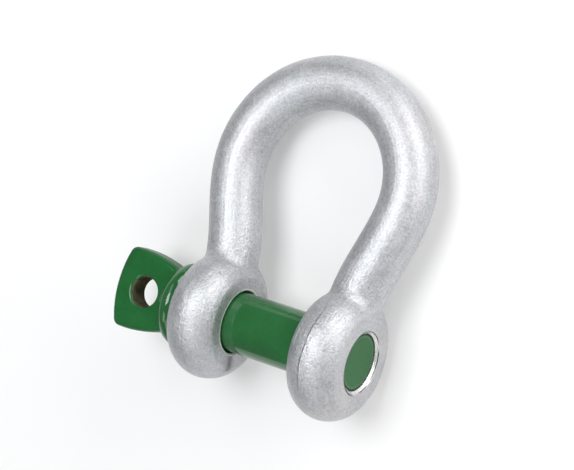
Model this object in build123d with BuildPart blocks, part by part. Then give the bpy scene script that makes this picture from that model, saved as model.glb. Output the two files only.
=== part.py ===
"""Bow shackle with a screw collar pin, lying at rest on one side.

The forged bow is one solid: a round bar bent into a pear-shaped loop whose two ends
swell into thick round eyes. The pin is the other solid: a flat head with a cord hole,
a domed collar that seats on the first eye, a plain shank across the jaw and a threaded
end that fills the second eye. Sizes are in millimetres. +X runs along the pin towards
its threaded end, +Y towards the crown of the bow and +Z up. The origin is on the pin's
axis, midway between the eyes. The bow dips towards its crown, because the shackle
rests on the rims of its two eyes and on the thinner crown.
"""

import os
from math import acos, asin, cos, degrees, hypot, radians, sin, sqrt, tan

from build123d import *

# Bow
bar_diameter = 21.8
bow_inside_width = 56.2  # across the widest part of the loop
inside_length = 80.0  # from the pin to the inside of the crown
crown_overrun = 9.0  # degrees of crown arc below the widest part, on each side
leg_end_height = 19.7  # above the pin's axis, where the curved leg ends
leg_end_offset = 0.7  # how far outside the eye's centre the leg ends
leg_end_lean = 2.6  # degrees that the leg's end leans in towards the pin
leg_handle = 0.36  # share of the leg's span that sets how evenly it curves
leg_foot_height = 6.0  # where the bar stops, inside the eye

# Eyes
jaw_width = 36.0
eye_diameter = 52.5
eye_spread = 0.2  # how much wider than the bar the eyes are forged
eye_curve_depth = 10.25  # from the rim inwards to where its curve is centred
eye_curve_margin = 0.5  # how far the flat faces cut into that curve
eye_face_edge = 3.0  # rounding where a flat face meets the rim
neck_fillet = 6.0  # where a leg runs into its eye
seat_margin = 0.5  # bare seat around the collar
seat_relief = 15.0  # degrees that the leg's root slopes away from the seat
mouth_chamfer = 0.5  # at both ends of the plain hole and inside the threaded one
thread_mouth_chamfer = 1.3  # where the threaded hole opens outwards

# Pin
pin_diameter = 24.8
hole_clearance = 0.65  # around the shank in the plain eye
thread_diameter = 23.2
thread_clearance = 0.06  # around the threaded end
shoulder_gap = 0.4  # from the end of the shank to the threaded eye
shoulder_chamfer = 0.6
end_recess = 1.5  # from the outer face of the threaded eye to the pin's end
end_chamfer = 0.4

# Pin head
collar_diameter = 35.6
collar_thickness = 3.4
collar_dome = 9.2  # how far the collar's rounded side stands out
collar_edge = 0.6
head_length = 38.7  # from the plain eye's outer face to the tip
head_height = 33.8  # across the two corners
head_root_height = 24.4  # where the head leaves the collar
head_thickness = 10.4
head_tip_radius = 44.0
head_side_bulge = 1.7  # how far the two long sides bow outwards
head_corner = 3.2
head_edge = 2.6  # rounding between the broad sides and the rim
head_fillet = 3.0  # where the head leaves the collar
head_turn = 2.0  # degrees that the head is turned out of the bow's plane
cord_hole_diameter = 12.4
cord_hole_from_tip = 15.1
cord_hole_edge = 1.6

# Sizes that follow
bar_radius = bar_diameter / 2
eye_radius = eye_diameter / 2
eye_curve_diameter = eye_diameter - 2 * eye_curve_depth
eye_curve_radius = eye_curve_diameter / 2
pin_radius = pin_diameter / 2
thread_radius = thread_diameter / 2
collar_radius = collar_diameter / 2
seat_radius = collar_radius + seat_margin
eye_width = bar_diameter + eye_spread
crown_radius = (bow_inside_width + bar_diameter) / 2
crown_height = pin_radius + inside_length + bar_radius
crown_centre = crown_height - crown_radius
eye_centre = (jaw_width + eye_width) / 2
inner_face = jaw_width / 2
outer_face = inner_face + eye_width
eye_curve_width = eye_width / 2 + eye_curve_margin
eye_face_angle = degrees(acos(eye_width / 2 / eye_curve_width))
collar_end = outer_face + collar_thickness
head_tip = outer_face + head_length
shank_end = inner_face - shoulder_gap
pin_end = outer_face - end_recess

# The shackle tips until its thin crown touches down beside the two thick eyes.
rest_tilt = asin((eye_radius - bar_radius) / crown_height)
head_tilt = rest_tilt - radians(head_turn)
bow_plane = Plane(origin=(0, 0, 0), x_dir=(1, 0, 0), z_dir=(0, sin(rest_tilt), cos(rest_tilt)))
head_plane = Plane(origin=(0, 0, 0), x_dir=(1, 0, 0), z_dir=(0, sin(head_tilt), cos(head_tilt)))
crown_top = bow_plane.from_local_coords((0, crown_height, 0))


def half_centreline():
    """The bar's centreline from the top of the crown down into one eye."""
    overrun = radians(crown_overrun)
    lean = radians(leg_end_lean)
    start = (crown_radius * cos(overrun), crown_centre - crown_radius * sin(overrun))
    end = (eye_centre + leg_end_offset, leg_end_height)
    foot = (end[0] - (end[1] - leg_foot_height) * tan(lean), leg_foot_height)
    handle = leg_handle * hypot(start[0] - end[0], start[1] - end[1])
    leaving = (start[0] - handle * sin(overrun), start[1] - handle * cos(overrun))
    arriving = (end[0] + handle * sin(lean), end[1] + handle * cos(lean))
    with BuildLine(bow_plane) as line:
        CenterArc((0, crown_centre), crown_radius, 90, -90 - crown_overrun)
        Bezier(start, leaving, arriving, end)
        Line(end, foot)
    return line.wires()[0]


# One leg and its eye
with BuildPart() as bow:
    with BuildSketch(bow_plane):
        with BuildLine():
            rim = EllipticalCenterArc(
                (eye_centre, -eye_curve_radius),
                eye_curve_width,
                eye_radius - eye_curve_radius,
                start_angle=180 + eye_face_angle,
                arc_size=180 - 2 * eye_face_angle,
            )
            Polyline(rim @ 0, (inner_face, 0), (outer_face, 0), rim @ 1)
        make_face()
    revolve(axis=Axis.X)
    fillet(bow.edges().filter_by(GeomType.CIRCLE), eye_face_edge)
    with BuildSketch(Plane(crown_top, z_dir=(1, 0, 0))):
        Circle(bar_radius)
    sweep(path=half_centreline())
    necks = bow.edges(Select.NEW).filter_by(lambda edge: edge.center().Y > 0)
    fillet(necks, neck_fillet)

    # The flat seat for the collar, which the leg's root slopes away from
    with BuildSketch(bow_plane):
        with BuildLine():
            rise = bar_radius * tan(radians(seat_relief))
            Polyline(
                (outer_face, 0),
                (outer_face, seat_radius),
                (outer_face + rise, seat_radius + bar_radius),
                (outer_face + rise, 0),
                close=True,
            )
        make_face()
    revolve(axis=Axis.X, mode=Mode.SUBTRACT)
    mirror(about=Plane.YZ)

    # The plain hole and the threaded hole, with their chamfered mouths
    bores = (
        (-1, pin_radius + hole_clearance, mouth_chamfer),
        (1, thread_radius + thread_clearance, thread_mouth_chamfer),
    )
    for side, radius, outer_chamfer in bores:
        with BuildSketch(bow_plane):
            with BuildLine():
                Polyline(
                    (side * (inner_face - mouth_chamfer), 0),
                    (side * (inner_face - mouth_chamfer), radius + 2 * mouth_chamfer),
                    (side * (inner_face + mouth_chamfer), radius),
                    (side * (outer_face - outer_chamfer), radius),
                    (side * (outer_face + outer_chamfer), radius + 2 * outer_chamfer),
                    (side * (outer_face + outer_chamfer), 0),
                    close=True,
                )
            make_face()
        revolve(axis=Axis.X, mode=Mode.SUBTRACT)
bow.part.label = "bow"

with BuildPart() as pin:
    # The flat head, seen from its broad side, with its root inside the collar
    with BuildSketch(head_plane):
        with BuildLine():
            half = head_height / 2
            root = head_root_height / 2
            corner = -head_tip + head_tip_radius - sqrt(head_tip_radius**2 - half**2)
            shoulder = -collar_end - collar_dome / 2
            ThreePointArc((corner, half), (-head_tip, 0), (corner, -half))
            SagittaArc((corner, -half), (shoulder, -root), -head_side_bulge)
            SagittaArc((corner, half), (shoulder, root), head_side_bulge)
            Polyline(
                (shoulder, root),
                (-collar_end, root),
                (-collar_end, -root),
                (shoulder, -root),
            )
        make_face()
    extrude(amount=head_thickness / 2, both=True)
    thickness_axis = Axis(head_plane.origin, head_plane.z_dir)
    corners = pin.edges().filter_by(thickness_axis).group_by(Axis.X)[0]
    fillet(corners, head_corner)
    broad_sides = pin.faces().filter_by(thickness_axis)
    outline = broad_sides.edges().filter_by(lambda edge: edge.center().X < -collar_end - 0.01)
    fillet(outline, head_edge)

    # The collar with its dome, the shank and the threaded end
    with BuildSketch(head_plane):
        with BuildLine():
            dome = EllipticalCenterArc(
                (-collar_end, 0),
                collar_dome,
                collar_radius,
                start_angle=180,
                arc_size=90,
            )
            Polyline(
                dome @ 1,
                (-outer_face - collar_edge, -collar_radius),
                (-outer_face, -collar_radius + collar_edge),
                (-outer_face, -pin_radius),
                (shank_end - shoulder_chamfer, -pin_radius),
                (shank_end, -pin_radius + shoulder_chamfer),
                (shank_end, -thread_radius),
                (pin_end - end_chamfer, -thread_radius),
                (pin_end, -thread_radius + end_chamfer),
                (pin_end, 0),
                dome @ 0,
            )
        make_face()
    revolve(axis=Axis.X)
    roots = pin.edges(Select.NEW).filter_by(lambda edge: edge.center().X < -collar_end)
    fillet(roots, head_fillet)

    # The cord hole
    with BuildSketch(head_plane):
        with Locations((-head_tip + cord_hole_from_tip, 0)):
            Circle(cord_hole_diameter / 2)
    extrude(amount=head_thickness, both=True, mode=Mode.SUBTRACT)
    fillet(pin.edges(Select.NEW).filter_by(GeomType.CIRCLE), cord_hole_edge)
pin.part.label = "pin"

os.makedirs("parts", exist_ok=True)
export_step(bow.part, "parts/bow.step")
export_step(pin.part, "parts/pin.step")
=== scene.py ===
"""Finished model of a galvanised bow shackle with a green screw pin, lying on a pale floor.

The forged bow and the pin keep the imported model's shape. Their meshes are divided more
finely and get the small unevenness of forging, zinc and paint, the parting line round
the eyes, a rounded rim on the collar and real screw threads. The shapes are worked out
in millimetres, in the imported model's frame, and the scene itself is in metres.
"""

import itertools
import math

import bpy
import numpy as np
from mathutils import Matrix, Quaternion, Vector


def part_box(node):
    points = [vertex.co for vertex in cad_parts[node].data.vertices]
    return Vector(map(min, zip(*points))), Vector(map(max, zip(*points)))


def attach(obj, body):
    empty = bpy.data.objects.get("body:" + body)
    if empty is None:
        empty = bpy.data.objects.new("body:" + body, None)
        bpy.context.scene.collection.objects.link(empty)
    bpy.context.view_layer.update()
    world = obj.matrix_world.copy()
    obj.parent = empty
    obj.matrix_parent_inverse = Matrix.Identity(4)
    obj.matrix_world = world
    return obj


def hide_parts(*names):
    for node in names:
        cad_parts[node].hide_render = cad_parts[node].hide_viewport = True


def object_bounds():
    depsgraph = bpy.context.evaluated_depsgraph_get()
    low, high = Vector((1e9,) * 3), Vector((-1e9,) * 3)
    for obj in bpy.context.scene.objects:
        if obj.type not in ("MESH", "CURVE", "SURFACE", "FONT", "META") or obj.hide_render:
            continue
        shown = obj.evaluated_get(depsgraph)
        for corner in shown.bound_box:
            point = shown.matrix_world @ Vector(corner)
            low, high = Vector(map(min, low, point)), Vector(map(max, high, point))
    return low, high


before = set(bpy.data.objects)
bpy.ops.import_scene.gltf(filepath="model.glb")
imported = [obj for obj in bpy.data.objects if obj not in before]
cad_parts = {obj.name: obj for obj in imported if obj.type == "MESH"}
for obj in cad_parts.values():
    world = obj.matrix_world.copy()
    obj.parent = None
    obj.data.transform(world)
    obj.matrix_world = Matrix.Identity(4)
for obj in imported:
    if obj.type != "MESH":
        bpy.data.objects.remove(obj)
cad_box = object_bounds()
scene = bpy.context.scene
MM = 0.001

# Sizes of the model
BAR_R = 10.9
CROWN_R = 39.0  # of the bar's centreline
CROWN_H = 103.3  # from the pin's axis to the top of that centreline
INNER = 18.0  # from the middle of the jaw to an eye's inner face
OUTER = 40.0  # and to its outer face
EYE_X = (INNER + OUTER) / 2
EYE_R = 26.25
INNER_MOUTH = 0.5  # chamfers at the two ends of the threaded hole
OUTER_MOUTH = 1.3
PIN_R = 12.4
SHANK_END = 17.6
PIN_END = 38.5
CORD_X = -63.6
CORD_R = 6.2

# Sizes of the screw thread, nine turns to the inch
PITCH = 25.4 / 9
THREAD_R = 11.6
THREAD_GAP = 0.06
THREAD_DEPTH = 1.66
THREAD_CREST = 0.42
THREAD_FLANK = THREAD_DEPTH * math.tan(math.radians(30))

# The bow lies tilted, and the head is turned a little out of the bow's plane
TILT = math.asin((EYE_R - BAR_R) / CROWN_H)
HEAD_TILT = TILT - math.radians(2)

# Parting line of the forging on the rims of the eyes
PARTING_X = 27.7
PARTING_LIP = 0.10
PARTING_STEP = 0.11
PARTING_SEED = 31

# Depth of the short lap on the plain eye's jaw face, and of the pit at its end
LAP_DEPTH = 0.16
PIT_DEPTH = 0.30

# How finely the meshes are made
COLUMNS = 96  # points round a lathed surface
COARSE_EDGE = 1.5  # longest edges on the bow, on its parting lines, round its lap and on the head
PARTING_EDGE = 0.42
LAP_EDGE = 0.35
HEAD_EDGE = 0.9

# Unevenness of the surfaces, in layers of height, size of the lumps and seed
FORGING = ((0.08, 26.0, 3), (0.05, 10.5, 4), (0.026, 4.6, 5))
PAINT = ((0.05, 13.0, 11), (0.035, 6.0, 12), (0.012, 2.6, 13))


# Points and directions


def unit(vectors):
    """The vectors at length 1."""
    return vectors / (np.linalg.norm(vectors, axis=1)[:, None] + 1e-12)


def dot(a, b):
    """The scalar product of each pair of vectors."""
    return np.einsum("ij,ij->i", a, b)


def from_axis(points):
    """Distance of each point from the pin's axis."""
    return np.hypot(points[:, 1], points[:, 2])


def tilted(points, angle):
    """Points as seen from the bow or the head: along the pin, along the bow, up from its plane."""
    c, s = math.cos(angle), math.sin(angle)
    x, y, z = points.T
    return np.stack([x, c * y - s * z, s * y + c * z], 1)


def smooth(a, b, x):
    """0 up to a, 1 from b on and a soft rise between them."""
    t = np.clip((x - a) / (b - a), 0, 1)
    return t * t * (3 - 2 * t)


def stretch(start, full, waning, end, x):
    """1 from full to waning, 0 before start and past end, soft between them."""
    return smooth(start, full, x) * (1 - smooth(waning, end, x))


def bell(x, width):
    """1 where x is 0, falling off softly to both sides."""
    return np.exp(-(x / width) ** 2)


def slopes(field, points, step):
    """How a field, of numbers or vectors, changes at each point along X, Y and Z."""
    sides = [field(points + step * axis) - field(points - step * axis) for axis in np.eye(3)]
    return np.stack(sides, -1) / (2 * step)


def noise(points, size, seed):
    """Smooth gradient noise, about -1 to 1, with lumps of the given size."""
    full_range = 1.7
    shift = seed * 0.37
    rng = np.random.default_rng(seed)
    perm = rng.permutation(256)
    grads = unit(rng.normal(size=(256, 3)))
    place = points / size + shift
    cell = np.floor(place).astype(int)
    inside = place - cell
    ease = inside * inside * inside * (inside * (inside * 6 - 15) + 10)
    total = np.zeros(len(points))
    for step in itertools.product((0, 1), repeat=3):
        corner = np.array(step)
        pick = perm[(cell[:, 0] + corner[0]) & 255]
        pick = perm[(pick + cell[:, 1] + corner[1]) & 255]
        pick = perm[(pick + cell[:, 2] + corner[2]) & 255]
        weight = np.prod(np.where(corner == 1, ease, 1 - ease), axis=1)
        total += weight * dot(grads[pick], inside - corner)
    return total * full_range


def lumps(points, layers):
    """Unevenness in several layers of noise."""
    return sum(height * noise(points, size, seed) for height, size, seed in layers)


# Meshes


def triangles(a, b, c):
    """One triangle for each row of the three lists of corners."""
    return np.stack([a, b, c], 1)


def read_node(obj):
    """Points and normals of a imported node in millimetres, and its triangles."""
    mesh = obj.data
    mesh.calc_loop_triangles()
    points = np.empty(len(mesh.vertices) * 3, np.float32)
    mesh.vertices.foreach_get("co", points)
    points = points.reshape(-1, 3).astype(float) / MM
    corners = np.empty(len(mesh.loops), np.int32)
    mesh.loops.foreach_get("vertex_index", corners)
    per_corner = np.empty(len(mesh.loops) * 3, np.float32)
    mesh.corner_normals.foreach_get("vector", per_corner)
    normals = np.zeros_like(points)
    np.add.at(normals, corners, per_corner.reshape(-1, 3))
    faces = np.empty(len(mesh.loop_triangles) * 3, np.int32)
    mesh.loop_triangles.foreach_get("vertices", faces)
    return points, unit(normals), faces.reshape(-1, 3).astype(int)


def same_place(points):
    """Which points to keep so that each place has one, and for each point which of those it is."""
    digits = 4
    _, keep, number = np.unique(np.round(points, digits), axis=0, return_index=True, return_inverse=True)
    return keep, number.reshape(-1)


def has_three_corners(faces):
    """False for the triangles that fall together when points at one place are joined."""
    a, b, c = faces.T
    return (a != b) & (b != c) & (c != a)


def split_faces(faces, middle_of):
    """Triangles that take in the new middles of their edges. middle_of is -1 where an edge stays whole."""
    split = middle_of >= 0
    made = [faces[~split.any(1)]]
    for turn in range(3):
        f = np.roll(faces, -turn, axis=1)
        m = np.roll(middle_of, -turn, axis=1)
        has = m >= 0
        one = has[:, 0] & ~has[:, 1] & ~has[:, 2]
        made.append(triangles(f[one, 0], m[one, 0], f[one, 2]))
        made.append(triangles(m[one, 0], f[one, 1], f[one, 2]))
        two = has[:, 0] & has[:, 1] & ~has[:, 2]
        made.append(triangles(m[two, 0], f[two, 1], m[two, 1]))
        made.append(triangles(f[two, 0], m[two, 0], m[two, 1]))
        made.append(triangles(f[two, 0], m[two, 1], f[two, 2]))
    three = split.all(1)
    f, m = faces[three], middle_of[three]
    made.append(triangles(f[:, 0], m[:, 0], m[:, 2]))
    made.append(triangles(m[:, 0], f[:, 1], m[:, 1]))
    made.append(triangles(m[:, 2], m[:, 1], f[:, 2]))
    made.append(m)
    return np.vstack(made)


def refine(points, normals, faces, limit, rounds=9):
    """Splits every edge longer than limit(place). New points follow the curve that the normals give."""
    for _ in range(rounds):
        place_of = same_place(points)[1]
        a, b = faces.ravel(), np.roll(faces, -1, axis=1).ravel()
        low, high = np.minimum(place_of[a], place_of[b]), np.maximum(place_of[a], place_of[b])
        key = low.astype(np.int64) * (place_of.max() + 1) + high
        _, edge = np.unique(key, return_inverse=True)
        edge = edge.reshape(-1)
        count = edge.max() + 1
        span = points[b] - points[a]
        middle = (points[a] + points[b]) / 2
        long = np.zeros(count, bool)
        long[edge[np.linalg.norm(span, axis=1) > limit(middle)]] = True
        if not long.any():
            break
        lift_a = dot(span, normals[a])[:, None] * normals[a]
        lift_b = dot(-span, normals[b])[:, None] * normals[b]
        place = np.zeros((count, 3))
        np.add.at(place, edge, middle - (lift_a + lift_b) / 8)
        place /= np.bincount(edge, minlength=count)[:, None]

        # One new vertex for each pair of ends, so that both sides of a crease keep their own normals
        pair = np.minimum(a, b).astype(np.int64) * len(points) + np.maximum(a, b)
        wanted = long[edge]
        _, first, new_number = np.unique(pair[wanted], return_index=True, return_inverse=True)
        middle_of = np.full(len(a), -1)
        middle_of[wanted] = len(points) + new_number.reshape(-1)
        new_normals = unit((normals[a] + normals[b])[wanted][first])
        points = np.vstack([points, place[edge[wanted][first]]])
        normals = np.vstack([normals, new_normals])
        faces = split_faces(faces, middle_of.reshape(-1, 3))
    return points, normals, faces


def displace(points, normals, height, box):
    """Moves points along their normals by height(points), inside the box, and tilts the normals to suit."""
    place_of = same_place(points)[1]
    shared = np.zeros((place_of.max() + 1, 3))
    np.add.at(shared, place_of, normals)
    slope = slopes(height, points, 0.04)
    slope -= dot(slope, normals)[:, None] * normals
    moved = points + unit(shared)[place_of] * height(points)[:, None]
    return np.clip(moved, box[0], box[1]), unit(normals - slope)


def reshape(points, normals, move):
    """Moves points by move(points) and turns the normals with them."""
    jacobian = slopes(move, points, 0.02)
    turned = np.linalg.solve(np.transpose(jacobian, (0, 2, 1)), normals[:, :, None])[:, :, 0]
    return move(points), unit(turned)


def make_object(name, points, corner_normals, faces, extra=None):
    """A smooth mesh object in the row frame from points in millimetres. extra holds per-point values."""
    keep, number = same_place(points)
    faces = number[faces]
    whole = has_three_corners(faces)
    mesh = bpy.data.meshes.new(name)
    mesh.from_pydata((points[keep] * MM).tolist(), [], faces[whole].tolist())
    for key, values in (extra or {}).items():
        kept = np.ascontiguousarray(values[keep], np.float32)
        if kept.ndim == 1:
            mesh.attributes.new(key, "FLOAT", "POINT").data.foreach_set("value", kept)
        else:
            attribute = mesh.attributes.new(key, "FLOAT_VECTOR", "POINT")
            attribute.data.foreach_set("vector", kept.ravel())
    mesh.polygons.foreach_set("use_smooth", np.ones(len(mesh.polygons), bool))
    mesh.normals_split_custom_set(corner_normals[whole].reshape(-1, 3).tolist())
    obj = bpy.data.objects.new(name, mesh)
    scene.collection.objects.link(obj)
    return obj


def creased_normals(points, faces, angle):
    """Corner normals that are smooth except across edges sharper than the angle in degrees."""
    mesh = bpy.data.meshes.new("scratch")
    mesh.from_pydata(points.tolist(), [], faces.tolist())
    mesh.polygons.foreach_set("use_smooth", np.ones(len(mesh.polygons), bool))
    mesh.set_sharp_from_angle(angle=math.radians(angle))
    out = np.empty(len(mesh.loops) * 3, np.float32)
    mesh.corner_normals.foreach_get("vector", out)
    bpy.data.meshes.remove(mesh)
    return out.reshape(-1, 3, 3).astype(float)


def joined(points, faces):
    """Makes one point of those at one place and drops faces with no area."""
    least_area = 1e-7
    keep, number = same_place(points)
    points, faces = points[keep], number[faces]
    faces = faces[has_three_corners(faces)]
    a, b, c = (points[faces[:, k]] for k in range(3))
    area = np.linalg.norm(np.cross(b - a, c - a), axis=1)
    return points, faces[area > least_area]


def lathe(profile, close_start=False, close_end=False):
    """Points and triangles of a body of revolution round the X axis, from (x, radius) pairs."""
    angle = np.arange(COLUMNS) * 2 * math.pi / COLUMNS
    ring = np.stack([np.zeros(COLUMNS), np.cos(angle), np.sin(angle)], 1)
    points = np.vstack([ring * [1, radius, radius] + [x, 0, 0] for x, radius in profile])
    i = np.arange(COLUMNS)
    j = (i + 1) % COLUMNS
    faces = []
    for row in range(len(profile) - 1):
        here, above = row * COLUMNS, (row + 1) * COLUMNS
        faces.append(triangles(here + i, above + i, above + j))
        faces.append(triangles(here + i, above + j, here + j))
    if close_start:
        points = np.vstack([points, [[profile[0][0], 0, 0]]])
        faces.append(triangles(np.full(COLUMNS, len(points) - 1), i, j))
    if close_end:
        points = np.vstack([points, [[profile[-1][0], 0, 0]]])
        last = (len(profile) - 1) * COLUMNS
        faces.append(triangles(last + i, np.full(COLUMNS, len(points) - 1), last + j))
    return points, np.vstack(faces)


# The bow


def centreline():
    """Points along the bar's centreline in the bow's plane, from one eye over the crown to the other."""
    overrun = math.radians(9.0)
    lean = math.radians(2.6)
    leg_end = np.array([EYE_X + 0.7, 19.7])
    handle_share = 0.36
    into_eye = np.array([-0.9, -20.0])
    angles = np.linspace(math.pi / 2, -overrun, 60)
    arc = CROWN_R * np.stack([np.cos(angles), np.sin(angles)], 1) + [0, CROWN_H - CROWN_R]
    leg_start = arc[-1]
    handle = handle_share * np.linalg.norm(leg_end - leg_start)
    leaving = leg_start - handle * np.array([math.sin(overrun), math.cos(overrun)])
    arriving = leg_end + handle * np.array([math.sin(lean), math.cos(lean)])
    t = np.linspace(0, 1, 40)[1:, None]
    leg = (1 - t) ** 3 * leg_start + 3 * t * (1 - t) ** 2 * leaving
    leg += 3 * t * t * (1 - t) * arriving + t ** 3 * leg_end
    foot = leg_end + np.linspace(0, 1, 12)[1:, None] * into_eye
    half = np.vstack([arc, leg, foot])
    other = half[::-1][:-1] * np.array([-1, 1])
    return np.vstack([other, half])


def along_bar(local):
    """For each point of the tilted frame: its place along the bar from the crown, and two round the bar."""
    batch = 20000
    line = centreline()
    run = np.concatenate([[0], np.cumsum(np.linalg.norm(np.diff(line, axis=0), axis=1))])
    run -= run[-1] / 2
    out = np.empty((len(local), 3))
    for first in range(0, len(local), batch):
        part = local[first:first + batch]
        distance = ((part[:, None, :2] - line[None]) ** 2).sum(2)
        nearest = np.clip(distance.argmin(1), 1, len(line) - 2)
        tangent = line[nearest + 1] - line[nearest - 1]
        tangent /= np.linalg.norm(tangent, axis=1)[:, None]
        offset = part[:, :2] - line[nearest]
        beside = offset[:, 0] * tangent[:, 1] - offset[:, 1] * tangent[:, 0]
        out[first:first + batch] = np.stack([run[nearest] + dot(offset, tangent), beside, part[:, 2]], 1)
    return out


def eye_weight(local):
    """1 on the eyes, 0 on the bar."""
    return 1 - smooth(EYE_R - 1.0, EYE_R + 7.0, from_axis(local))


def parting(local, side):
    """Height of the forging's parting line on one eye's rim with the step beside it, and a dark line at the
    foot of the step, which is painted shade.
    """
    radius = from_axis(local)
    around = np.degrees(np.arctan2(local[:, 1], local[:, 2]))

    # The line wavers, and on the eye's upper side it bends outwards at both ends
    long_wave, short_wave, bend = 0.35, 0.12, 0.0006
    line = PARTING_X + long_wave * np.sin(np.radians(around * 3.1 + 20 * side))
    line += short_wave * np.sin(np.radians(around * 13 + 50 * side))
    line += bend * around ** 2 * (np.abs(around) < 45)
    off = local[:, 0] * side - line

    # It shows most on the upper side of the threaded eye, ends at the leg, and comes and goes
    upper = stretch(-34, -24, 28, 42, around)
    strength = (0.25 + 0.75 * upper) if side > 0 else (0.2 + 0.3 * upper)
    strength = strength * stretch(20.0, 23.5, 26.6, 27.6, radius)
    turn_only = np.stack([around * 0.16, 0 * around, 0 * around], 1)
    strength = strength * (1 - 0.65 * smooth(0.0, 0.5, noise(turn_only, 1.0, PARTING_SEED + side)))

    lip = PARTING_LIP * bell(off, 0.32)
    step = PARTING_STEP * (0.5 + 0.5 * np.tanh(off / 0.22)) * bell(np.maximum(off, 0), 5.0) - 0.06
    # Painted shade at the foot of the step
    dark_seam_and_shade = bell(off + 0.25, 0.36)
    return strength * (lip + step * (off > -6)), strength * dark_seam_and_shade


def lap(local):
    """A short lap in the plain eye's jaw face, the pit at its end, and a wider dark patch round both,
    partly a stain and partly painted shade of the lower jaw face.
    """
    u, v, w = local.T
    slant = 0.22
    across = w + 0.2 - slant * (v + 13.5)
    line = bell(across, 1.5) * stretch(-20.4, -18.6, -14.4, -13.2, v)
    pit = bell(w + 1.6, 1.25) * bell(v + 19.9, 0.7)
    # Partly a stain, partly painted shade of the lower jaw face
    stain_and_painted_shade = bell(across + 0.3, 3.4) * stretch(-23.0, -19.0, -16.0, -13.0, v)
    near = 1 - smooth(3.0, 5.0, np.abs(u + INNER))
    return line * near, pit * near, stain_and_painted_shade * near


def bow_height(points):
    """How far the bow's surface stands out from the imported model's."""
    local = tilted(points, TILT)
    radius = from_axis(local)

    # The holes' mouths and the collar's seat stay as they were cut
    near_hole = 1 - smooth(14.6, 18.0, radius)
    seat = smooth(OUTER - 0.8, OUTER - 0.2, np.abs(local[:, 0])) * (local[:, 0] < 0)
    seat = seat * (1 - smooth(19.0, 22.0, radius))
    height = lumps(points, FORGING) * (1 - near_hole) * (1 - seat)
    line, pit, _ = lap(local)
    height = height + parting(local, 1)[0] + parting(local, -1)[0]
    return height - LAP_DEPTH * line - PIT_DEPTH * pit


def bow_edge_limit(points):
    """The longest edge wanted at each place on the bow."""
    local = tilted(points, TILT)
    u, v, w = local.T
    radius = from_axis(local)
    band_middle, band_half = 28.0, 1.5
    in_band = np.abs(np.abs(u) - band_middle) < band_half
    at_parting = in_band & (radius > 22.0) & (radius < 27.5)
    at_lap = (np.abs(u + INNER) < 3.5) & (np.abs(w + 0.9) < 2.4) & (v < -13.2) & (v > -21.6)
    return np.where(at_parting, PARTING_EDGE, np.where(at_lap, LAP_EDGE, COARSE_EDGE))


def build_bow():
    points, normals, faces = read_node(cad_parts["bow"])
    box = [np.array(corner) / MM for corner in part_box("bow")]
    points, normals, faces = refine(points, normals, faces, bow_edge_limit)
    local = tilted(points, TILT)
    line, pit, stain_and_painted_shade = lap(local)
    # Dark colour for the zinc: painted shade along the parting lines and in the lap's crease and pit, and
    # the patch round the lap, partly stain and partly painted shade
    dark_seam_and_shade = parting(local, 1)[1] + parting(local, -1)[1] + 0.95 * line + 1.3 * pit + 0.4 * stain_and_painted_shade
    values = {"bar": along_bar(local), "eye": eye_weight(local), "dark_seam_and_shade": np.clip(dark_seam_and_shade, 0, 1)}
    points, normals = displace(points, normals, bow_height, box)
    obj = make_object("bow_finish", points, normals[faces], faces, values)
    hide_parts("bow")
    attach(obj, "bow")
    return obj


# Threads


def flank_fall(distance):
    """0 to 1 over the width of a thread's flank, straight with a little rounding at both ends."""
    rounding = 0.25
    straight = np.clip(distance / THREAD_FLANK, 0, 1)
    return rounding * smooth(0, THREAD_FLANK, distance) + (1 - rounding) * straight


def pin_groove(x, angle):
    """Radius of the pin's threaded end. Crest and root are flat, and the groove fades out at both ends."""
    phase = np.mod(x - PITCH * angle / (2 * math.pi), PITCH)
    depth = np.clip(flank_fall(phase - THREAD_CREST) - flank_fall(phase - PITCH + THREAD_FLANK), 0, 1)
    fade = stretch(SHANK_END + 0.3, SHANK_END + 3.4, PIN_END - 1.5, PIN_END - 0.75, x)
    return THREAD_R - THREAD_DEPTH * fade * depth


def eye_groove(x, angle):
    """Radius of the eye's thread, which clears the pin's and runs out at the hole's two mouths."""
    free = THREAD_R + THREAD_GAP
    mouth = np.maximum(free - (OUTER - OUTER_MOUTH - x), free - (x - INNER - INNER_MOUTH))
    return np.minimum(np.maximum(pin_groove(x, angle) + THREAD_GAP, mouth), free)


def helix_rows(x0, x1, radius):
    """Points and triangles of a thread's surface. Rows follow the helix, so that its edges stay clean."""
    edge = 0.13  # from a corner of the thread's outline to the row that holds its rounding
    root = THREAD_CREST + THREAD_FLANK
    in_root = 1.8
    rise = PITCH - THREAD_FLANK
    marks = [0, THREAD_CREST / 2, THREAD_CREST, THREAD_CREST + edge, THREAD_CREST + THREAD_FLANK / 2]
    marks += [root - edge, root, in_root, rise, rise + edge, rise + THREAD_FLANK / 2, PITCH - edge]
    turns = int(math.ceil((x1 - x0) / PITCH)) + 3
    start = math.floor(x0 / PITCH - 1) * PITCH
    offsets = np.array([start + turn * PITCH + mark for turn in range(turns) for mark in marks])
    angle = np.arange(COLUMNS) * 2 * math.pi / COLUMNS
    x = np.clip(offsets[:, None] + PITCH * angle[None] / (2 * math.pi), x0, x1)
    angle = np.broadcast_to(angle[None], x.shape)
    r = radius(x, angle)
    points = np.stack([x, r * np.cos(angle), r * np.sin(angle)], -1).reshape(-1, 3)
    faces = []
    for i in range(COLUMNS):
        # Past the last column the helix has climbed by one turn's rows
        j = (i + 1) % COLUMNS
        climb = len(marks) if j == 0 else 0
        row = np.arange(climb, len(offsets) - 1)
        a, b = row * COLUMNS + i, (row + 1) * COLUMNS + i
        c, d = (row + 1 - climb) * COLUMNS + j, (row - climb) * COLUMNS + j
        faces.append(triangles(a, b, c))
        faces.append(triangles(a, c, d))
    return points, np.vstack(faces)


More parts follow.
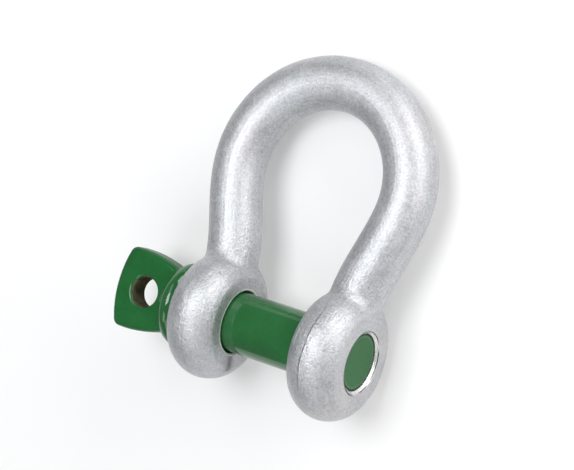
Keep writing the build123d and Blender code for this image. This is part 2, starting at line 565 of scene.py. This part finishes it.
def build_eye_thread():
    """The screw thread inside the threaded eye, a ring set into the bore's wall."""
    x0, x1 = INNER + INNER_MOUTH, OUTER - OUTER_MOUTH
    wall = THREAD_R + THREAD_GAP
    into_wall = wall + 0.6
    groove, groove_faces = helix_rows(x0, x1, eye_groove)
    back, back_faces = lathe([(x0, wall), (x0, into_wall), (x1, into_wall), (x1, wall)])
    faces = np.vstack([groove_faces[:, ::-1], back_faces + len(groove)])
    points, faces = joined(np.vstack([groove, back]), faces)
    obj = make_object("eye_thread", points, creased_normals(points, faces, 28), faces)
    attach(obj, "bow")
    return obj


# The pin


def pin_height(points):
    """How far the head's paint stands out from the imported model's surface."""
    local = tilted(points, HEAD_TILT)
    seat = smooth(-OUTER - 1.2, -OUTER - 0.3, local[:, 0])
    from_cord_hole = np.hypot(local[:, 0] - CORD_X, local[:, 1])
    bore = 1 - smooth(CORD_R + 0.05, CORD_R + 1.2, from_cord_hole)
    return lumps(points, PAINT) * (1 - seat) * (1 - bore)


def round_collar(points):
    """Rounds the collar's rim off towards the eye."""
    rounding, reach, most = 4.4, 4.2, 1.8
    radius = from_axis(points)
    along = np.clip(points[:, 0] + OUTER + rounding, 0, reach)
    drop = np.minimum(rounding - np.sqrt(rounding ** 2 - along ** 2), most)
    scale = 1 - drop * smooth(13.4, 17.0, radius) / np.maximum(radius, 1.0)
    return points * np.stack([np.ones(len(points)), scale, scale], 1)


def pin_head():
    """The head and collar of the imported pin, closed where the shank leaves them."""
    points, normals, faces = read_node(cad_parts["pin"])
    box = [np.array(corner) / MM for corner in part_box("pin")]
    tolerance = 0.001
    faces = faces[points[faces, 0].max(1) <= -OUTER + tolerance]
    points, normals, faces = refine(points, normals, faces, lambda p: np.full(len(p), HEAD_EDGE))
    points, normals = reshape(points, normals, round_collar)

    # The rim that the shank leaves from gets a cap round a new point on the axis
    used = np.unique(faces)
    on_face = np.abs(points[used, 0] + OUTER) < tolerance
    at_shank = np.abs(from_axis(points[used]) - PIN_R) < 0.02
    rim = used[on_face & at_shank & (normals[used, 0] > 0.9)]
    rim = rim[np.argsort(np.arctan2(points[rim, 2], points[rim, 1]))]
    points = np.vstack([points, [[-OUTER, 0, 0]]])
    normals = np.vstack([normals, [[1, 0, 0]]])
    cap = triangles(np.full(len(rim), len(points) - 1), rim, np.roll(rim, -1))
    points, normals = displace(points, normals, pin_height, box)
    return points, normals, np.vstack([faces, cap])


def pin_shank():
    """The shank with its shoulder, the threaded end and the pin's end, as one closed body."""
    straight_end = 16.4
    shoulder = [(16.9, 0), (17.05, 0.05), (SHANK_END - 0.05, 0.57), (SHANK_END, 0.65)]
    profile = [(-OUTER, PIN_R)] + [(x, PIN_R) for x in np.linspace(-OUTER + 3, straight_end, 20)]
    profile += [(x, PIN_R - drop) for x, drop in shoulder] + [(SHANK_END, THREAD_R)]
    shank, shank_faces = lathe(profile, close_start=True)

    chamfer = 0.4
    end_edge = [(-chamfer, 0), (-0.12, 0.22), (0, 0.45), (0, 1.2), (0, 5), (0, THREAD_R - 3.0)]
    thread, thread_faces = helix_rows(SHANK_END, PIN_END - chamfer, pin_groove)
    end, end_faces = lathe([(PIN_END + x, THREAD_R - drop) for x, drop in end_edge], close_end=True)

    points = np.vstack([shank, thread, end])
    thread_faces = thread_faces + len(shank)
    end_faces = end_faces + len(shank) + len(thread)
    return joined(points, np.vstack([shank_faces, thread_faces, end_faces]))


def build_pin():
    head, head_normals, head_faces = pin_head()
    shank, shank_faces = pin_shank()
    points = np.vstack([head, shank])
    faces = np.vstack([head_faces, shank_faces + len(head)])
    corner_normals = np.concatenate([head_normals[head_faces], creased_normals(shank, shank_faces, 30)])
    obj = make_object("pin_finish", points, corner_normals, faces)
    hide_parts("pin")
    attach(obj, "pin")
    return obj


# Materials


class Nodes:
    """Short ways to build a material's nodes."""

    def __init__(self, name):
        self.material = bpy.data.materials.new(name)
        self.material.use_nodes = True
        self.tree = self.material.node_tree
        self.shader = self.tree.nodes["Principled BSDF"]

    def feed(self, socket, value):
        """Links another node's output to the socket, or sets a value on the socket itself."""
        if isinstance(value, bpy.types.NodeSocket):
            self.tree.links.new(value, socket)
        elif socket.type == "RGBA":
            socket.default_value = (*value, 1)
        else:
            socket.default_value = value

    def add(self, kind, inputs=None, **settings):
        node = self.tree.nodes.new(kind)
        for key, value in settings.items():
            setattr(node, key, value)
        for key, value in (inputs or {}).items():
            self.feed(node.inputs[key], value)
        return node

    def set(self, **sockets):
        """Feeds the shader's sockets, with underscores for the spaces in their names."""
        for key, value in sockets.items():
            self.feed(self.shader.inputs[key.replace("_", " ")], value)

    def coords(self):
        """The point in the row frame, in metres."""
        return self.add("ShaderNodeTexCoord").outputs["Object"]

    def attribute(self, name, kind="Fac"):
        return self.add("ShaderNodeAttribute", attribute_name=name).outputs[kind]

    def split(self, vector):
        return self.add("ShaderNodeSeparateXYZ", {0: vector}).outputs

    def combine(self, *parts):
        return self.add("ShaderNodeCombineXYZ", dict(enumerate(parts))).outputs[0]

    def scaled(self, vector, factors):
        return self.add("ShaderNodeVectorMath", {0: vector, 1: factors}, operation="MULTIPLY").outputs[0]

    def dot(self, a, b):
        return self.add("ShaderNodeVectorMath", {0: a, 1: b}, operation="DOT_PRODUCT").outputs["Value"]

    def length(self, vector):
        return self.add("ShaderNodeVectorMath", {0: vector}, operation="LENGTH").outputs["Value"]

    def noise(self, vector, scale, detail=3.0, rough=0.55):
        inputs = {"Vector": vector, "Scale": scale, "Detail": detail, "Roughness": rough}
        return self.add("ShaderNodeTexNoise", inputs).outputs["Fac"]

    def math(self, operation, a, b=0.0):
        return self.add("ShaderNodeMath", {0: a, 1: b}, operation=operation).outputs[0]

    def plus(self, a, b):
        return self.math("ADD", a, b)

    def minus(self, a, b):
        return self.math("SUBTRACT", a, b)

    def times(self, a, b):
        return self.math("MULTIPLY", a, b)

    def larger(self, a, b):
        return self.math("MAXIMUM", a, b)

    def above(self, a, limit):
        return self.math("GREATER_THAN", a, limit)

    def below(self, a, limit):
        return self.math("LESS_THAN", a, limit)

    def range(self, value, a, b, c=0.0, d=1.0):
        """Takes values from a to b over to c to d, and holds them there."""
        return self.add("ShaderNodeMapRange", {0: value, 1: a, 2: b, 3: c, 4: d}).outputs[0]

    def swing(self, noise, size):
        """Noise as a change of up to size in both directions."""
        return self.range(noise, 0.3, 0.7, -size, size)

    def line(self, value, middle, outer, inner):
        """1 within inner of the middle, 0 farther off than outer."""
        return self.range(self.math("ABSOLUTE", self.minus(value, middle)), outer, inner)

    def blend(self, factor, a, b):
        return self.add("ShaderNodeMix", {0: factor, 2: a, 3: b}, data_type="FLOAT").outputs[0]

    def mix(self, factor, a, b, blend="MIX"):
        inputs = {0: factor, 6: a, 7: b}
        return self.add("ShaderNodeMix", inputs, data_type="RGBA", blend_type=blend).outputs[2]

    def ramp(self, value, stops):
        node = self.add("ShaderNodeValToRGB", {0: value})
        ramp = node.color_ramp
        while len(ramp.elements) < len(stops):
            ramp.elements.new(0.5)
        for element, (place, colour) in zip(ramp.elements, stops):
            element.position = place
            element.color = (*colour, 1)
        return node.outputs[0]

    def bump(self, height, strength, distance, normal=None):
        inputs = {"Height": height, "Strength": strength, "Distance": distance}
        if normal is not None:
            inputs["Normal"] = normal
        return self.add("ShaderNodeBump", inputs).outputs[0]


def radius_from_x_axis(n, place):
    """Distance from the pin's axis, in metres."""
    return n.length(n.scaled(place, (0.0, 1.0, 1.0)))


def forging_streaks(n, place, bar, eye):
    """Streaks that run along the bar and round the eyes."""
    shorter = 0.03
    per_radian = 2.6
    along = n.noise(n.scaled(bar, (shorter, 1.0, 1.0)), 1.1, 3.0, 0.6)
    x, y, z = n.split(place)
    turn = n.math("ARCTAN2", z, n.times(y, -1.0))
    radius = radius_from_x_axis(n, place)
    round_eye = n.combine(n.times(x, 1 / MM), n.times(turn, per_radian), n.times(radius, 1 / MM))
    around = n.noise(round_eye, 0.95, 3.0, 0.6)
    return n.blend(eye, along, around)


def cut_mouth_and_painted_highlight(n, place):
    """Where the threaded hole's mouth was cut bright, and a ring round the plain hole's edge that is
    coloured pale as a painted highlight.
    """
    x = n.split(place)[0]
    radius = radius_from_x_axis(n, place)
    threaded = n.times(n.below(radius, 12.93 * MM), n.above(x, 0.0))
    at_jaw = n.below(n.math("ABSOLUTE", n.plus(x, INNER * MM)), 0.6 * MM)
    # Painted highlight: a pale ring round the plain hole's edge, broken up by noise
    plain = n.times(n.below(radius, 14.05 * MM), at_jaw)
    plain = n.times(plain, n.range(n.noise(place, 190, 2.0), 0.36, 0.50))
    return threaded, plain


def chamfer_line_and_painted_shadow(n, place):
    """A fine dark line on the threaded hole's mouth chamfer, and a painted shadow: a dark line just outside
    the mouth on the eye's outer face, on its upper side only.
    """
    x, _, z = n.split(place)
    radius = radius_from_x_axis(n, place)
    inner = n.times(n.line(radius, 12.7 * MM, 0.20 * MM, 0.11 * MM), n.above(x, 38.8 * MM))
    inner = n.times(inner, n.range(n.noise(place, 130, 2.0), 0.38, 0.52))
    # Painted shadow of the gap round the pin's end, fading out towards the axis
    outer = n.times(n.line(radius, 13.1 * MM, 0.26 * MM, 0.16 * MM), n.above(x, 39.5 * MM))
    outer = n.times(outer, n.range(z, 0.0, 6 * MM))
    return n.larger(inner, outer)


def zinc():
    n = Nodes("galvanised_zinc")
    place = n.coords()
    bar = n.attribute("bar", "Vector")
    eye = n.attribute("eye")
    dark_seam_and_shade = n.attribute("dark_seam_and_shade")
    streaks = forging_streaks(n, place, bar, eye)
    cloud = n.noise(place, 80)
    mottle = n.noise(place, 480, 4.0, 0.62)
    grain = n.noise(place, 1250, 3.0, 0.6)

    # Colour
    tone = n.plus(n.swing(mottle, 0.4), n.swing(cloud, 0.35))
    tone = n.plus(tone, n.swing(grain, 0.9))
    tone = n.plus(tone, n.swing(streaks, 0.28))
    dark, middle, light = (0.385, 0.395, 0.41), (0.535, 0.54, 0.555), (0.69, 0.69, 0.70)
    colour = n.ramp(n.range(tone, -1.3, 1.3), [(0.0, dark), (0.5, middle), (1.0, light)])
    cool, warm = (0.965, 0.985, 1.0), (1.0, 0.985, 0.985)
    tint = n.ramp(n.noise(place, 34, 2.0), [(0.35, cool), (0.65, warm)])
    colour = n.mix(1.0, colour, tint, "MULTIPLY")
    # Painted shade in the creases of the parting lines and the lap and in its pit, and round the lap partly
    # a stain
    colour = n.mix(n.times(dark_seam_and_shade, 0.75), colour, (0.17, 0.155, 0.15))

    # The crown's zinc is flatter and duller than that of the legs and the eyes
    crown_flatness = 0.35
    from_crown = n.math("ABSOLUTE", n.split(bar)[0])
    coarse = n.larger(n.range(from_crown, 55.0, 105.0, crown_flatness, 1.0), eye)
    rough = n.range(n.plus(mottle, n.times(cloud, 0.5)), 0.5, 1.0, 0.41, 0.54)
    rough = n.minus(rough, n.times(eye, 0.02))
    rough = n.plus(rough, n.range(coarse, crown_flatness, 1.0, 0.07, 0.0))
    height = n.plus(n.times(mottle, 0.7), n.times(grain, 0.9))
    height = n.times(height, n.plus(coarse, n.times(eye, 0.12)))
    normal = n.bump(height, 1.0, 0.30 * MM)
    normal = n.bump(n.times(streaks, coarse), 0.6, 0.18 * MM, normal)

    # The threaded hole's mouth is bright cut metal, the plain hole's edge has a pale, less metallic ring as
    # a painted highlight, and round the threaded mouth go a dark line and a painted shadow
    threaded, plain = cut_mouth_and_painted_highlight(n, place)
    bright = n.larger(threaded, plain)
    turned = n.noise(n.scaled(place, (5.0, 0.3, 0.3)), 900, 2.0)
    cut_steel_and_painted_highlight = n.ramp(turned, [(0.3, (0.70, 0.70, 0.69)), (0.7, (0.88, 0.88, 0.87))])
    colour = n.mix(bright, colour, cut_steel_and_painted_highlight)
    colour = n.mix(n.times(chamfer_line_and_painted_shadow(n, place), 0.9), colour, (0.03, 0.03, 0.03))
    n.set(Base_Color=colour, Metallic=n.blend(plain, 0.85, 0.2))
    n.set(Roughness=n.blend(bright, rough, 0.26), Normal=normal)
    return n.material


def machined_steel():
    n = Nodes("cut_thread_steel")
    place = n.coords()
    rings = n.noise(n.scaled(place, (4.0, 0.5, 0.5)), 1400, 2.0)
    stain = n.noise(place, 260)
    tone = n.plus(n.times(rings, 0.4), n.times(stain, 0.6))
    colour = n.ramp(tone, [(0.3, (0.46, 0.46, 0.45)), (0.7, (0.70, 0.70, 0.69))])
    n.set(Base_Color=colour, Metallic=0.95, Roughness=n.range(stain, 0.3, 0.7, 0.22, 0.36))
    n.set(Normal=n.bump(rings, 0.35, 0.04 * MM))
    return n.material


def bare_hole(n, place):
    """1 on the wall of the cord hole, with an uneven edge."""
    along_bow = (0.0, math.cos(HEAD_TILT), -math.sin(HEAD_TILT))
    across = n.dot(place, along_bow)
    from_hole = n.length(n.combine(n.minus(n.split(place)[0], CORD_X * MM), across))
    edge = n.plus(from_hole, n.swing(n.noise(place, 500), 0.35 * MM))
    return n.range(edge, 6.8 * MM, 6.4 * MM)


def green():
    n = Nodes("green_enamel")
    place = n.coords()
    x = n.split(place)[0]
    radius = radius_from_x_axis(n, place)
    cloud = n.noise(place, 75)
    fine = n.noise(place, 900)
    peel = n.noise(place, 420, 2.0)
    tone = n.plus(n.times(cloud, 0.75), n.times(fine, 0.25))
    colour = n.ramp(tone, [(0.3, (0.007, 0.083, 0.018)), (0.7, (0.014, 0.123, 0.030))])

    # The cord hole's wall is bare and brown
    bare = bare_hole(n, place)
    brown = [(0.35, (0.050, 0.052, 0.030)), (0.65, (0.120, 0.108, 0.068))]
    colour = n.mix(bare, colour, n.ramp(n.noise(place, 350, 4.0), brown))

    # The end of the pin is lighter, with a fine turned line, and its edge is darkened as painted shade of
    # the recess it sits in
    end = n.above(x, (PIN_END - 0.2) * MM)
    colour = n.mix(n.times(end, 0.35), colour, (0.030, 0.165, 0.045))
    turned_line = n.times(n.line(radius, 10.3 * MM, 0.26 * MM, 0.10 * MM), end)
    colour = n.mix(n.times(turned_line, 0.5), colour, (0.12, 0.27, 0.14))
    # Painted shade: a dark ring at the edge of the pin's end
    rim = n.times(n.range(radius, 10.70 * MM, 11.05 * MM), n.above(x, (PIN_END - 0.6) * MM))
    colour = n.mix(n.times(rim, 0.85), colour, (0.003, 0.018, 0.006))

    # Paint is rubbed off the crests of the thread
    crest = n.times(n.range(radius, 11.3 * MM, 11.52 * MM), n.above(x, (SHANK_END + 0.8) * MM))
    crest = n.times(crest, n.below(x, (PIN_END - 0.4) * MM))
    crest = n.times(crest, n.range(n.noise(place, 240, 4.0), 0.44, 0.58))
    colour = n.mix(crest, colour, (0.36, 0.36, 0.35))

    # The gloss is a clear coat, thinner on the head and on the pin's end
    coat = n.times(n.minus(1.0, bare), n.minus(1.0, crest))
    coat = n.times(coat, n.range(x, -47.0 * MM, -44.5 * MM, 0.55, 0.95))
    coat = n.times(coat, n.blend(end, 1.0, 0.5))
    rough = n.blend(bare, n.range(cloud, 0.3, 0.7, 0.34, 0.44), 0.8)
    normal = n.bump(n.plus(peel, n.times(fine, 0.2)), 0.5, 0.08 * MM)
    n.set(Base_Color=colour, Metallic=n.times(crest, 0.9), Roughness=rough, Normal=normal)
    n.set(Specular_IOR_Level=0.0, Coat_Weight=coat, Coat_IOR=1.6, Coat_Roughness=0.07)
    return n.material


# Build

bow = build_bow()
eye_thread = build_eye_thread()
pin = build_pin()
bow.data.materials.append(zinc())
eye_thread.data.materials.append(machined_steel())
pin.data.materials.append(green())

# Camera, floor and light

# The camera stands as the photo's did. Angles are in degrees
CAMERA_AIM = (-4.81, 39.72, 0.0)
CAMERA_DISTANCE = 667.17
CAMERA_AZIMUTH, CAMERA_ELEVATION, CAMERA_ROLL = 15.501, 58.244, -91.436
LENS, SENSOR = 105.78, 36.0
LAMP_AIM = (0.0, 35.0, 0.0)
LAMP_DISTANCE = 900.0
FLOOR_HALF = 8.0  # in metres
WORLD_COLOUR = (0.28, 0.28, 0.285, 1)

# Name, azimuth, elevation, width and height in metres, watts and colour
LAMPS = [
    ("top", 110, 80, 0.46, 0.46, 5.15, (0.975, 0.985, 1.0)),
    ("side", 29, 17, 0.7, 0.38, 3.3, (1.0, 0.99, 0.97)),
    ("front", 296, 32, 0.65, 0.45, 1.4, (1, 1, 1)),
    ("left", 252, 52, 0.34, 0.34, 1.0, (0.98, 0.99, 1.0)),
    ("back", 112, 52, 0.34, 0.34, 0.8, (0.98, 0.99, 1.0)),
    ("right", 64, 18, 0.5, 0.34, 2.8, (1.0, 0.99, 0.98)),
]


def aimed(name, data, aim, azimuth, elevation, distance, roll=0.0):
    """An object that looks at a point from a distance. Azimuth is measured from +X towards +Y."""
    obj = bpy.data.objects.new(name, data)
    scene.collection.objects.link(obj)
    turn, rise = math.radians(azimuth), math.radians(elevation)
    out = Vector((math.cos(rise) * math.cos(turn), math.cos(rise) * math.sin(turn), math.sin(rise)))
    obj.location = (Vector(aim) + out * distance) * MM
    obj.rotation_mode = "QUATERNION"
    obj.rotation_quaternion = out.to_track_quat("Z", "Y") @ Quaternion((0, 0, 1), math.radians(roll))
    return obj


def make_camera():
    data = bpy.data.cameras.new("camera")
    data.lens = LENS
    data.sensor_width = SENSOR
    data.clip_start, data.clip_end = 0.02, 60
    return aimed("camera", data, CAMERA_AIM, CAMERA_AZIMUTH, CAMERA_ELEVATION, CAMERA_DISTANCE, CAMERA_ROLL)


def make_lamp(name, azimuth, elevation, width, height, watts, colour):
    """A soft box that faces the object."""
    data = bpy.data.lights.new(name, "AREA")
    data.shape = "RECTANGLE"
    data.size, data.size_y = width, height
    data.energy = watts
    data.color = colour
    return aimed(name, data, LAMP_AIM, azimuth, elevation, LAMP_DISTANCE)


def floor_paper():
    """Pale paper. The camera and the reflections see it lighter, and a quarter of it as plain white."""
    n = Nodes("floor_paper")
    path = n.add("ShaderNodeLightPath").outputs
    seen = n.larger(path["Is Camera Ray"], n.larger(path["Is Glossy Ray"], path["Is Transmission Ray"]))
    n.set(Base_Color=n.mix(seen, (0.62, 0.62, 0.62), (0.86, 0.86, 0.86)), Roughness=0.9)
    n.set(Metallic=0.0, Specular_IOR_Level=0.0)
    white = n.add("ShaderNodeEmission", {"Color": (1, 1, 1), "Strength": 1.0}).outputs[0]
    both = n.add("ShaderNodeMixShader", {0: n.times(seen, 0.25), 1: n.shader.outputs[0], 2: white})
    n.tree.links.new(both.outputs[0], n.tree.nodes["Material Output"].inputs[0])
    return n.material


def make_floor():
    """A wide sheet at the level that the shackle rests on."""
    z = float(cad_box[0][2])
    corners = [(-1, -1), (1, -1), (1, 1), (-1, 1)]
    mesh = bpy.data.meshes.new("floor")
    mesh.from_pydata([(x * FLOOR_HALF, y * FLOOR_HALF, z) for x, y in corners], [], [(0, 1, 2, 3)])
    mesh.materials.append(floor_paper())
    obj = bpy.data.objects.new("floor", mesh)
    scene.collection.objects.link(obj)


scene.camera = make_camera()
make_floor()
for lamp in LAMPS:
    make_lamp(*lamp)

world = bpy.data.worlds.new("studio")
scene.world = world
world.use_nodes = True
background = world.node_tree.nodes["Background"].inputs
background["Color"].default_value = WORLD_COLOUR
background["Strength"].default_value = 1.0

scene.view_settings.view_transform = "Standard"
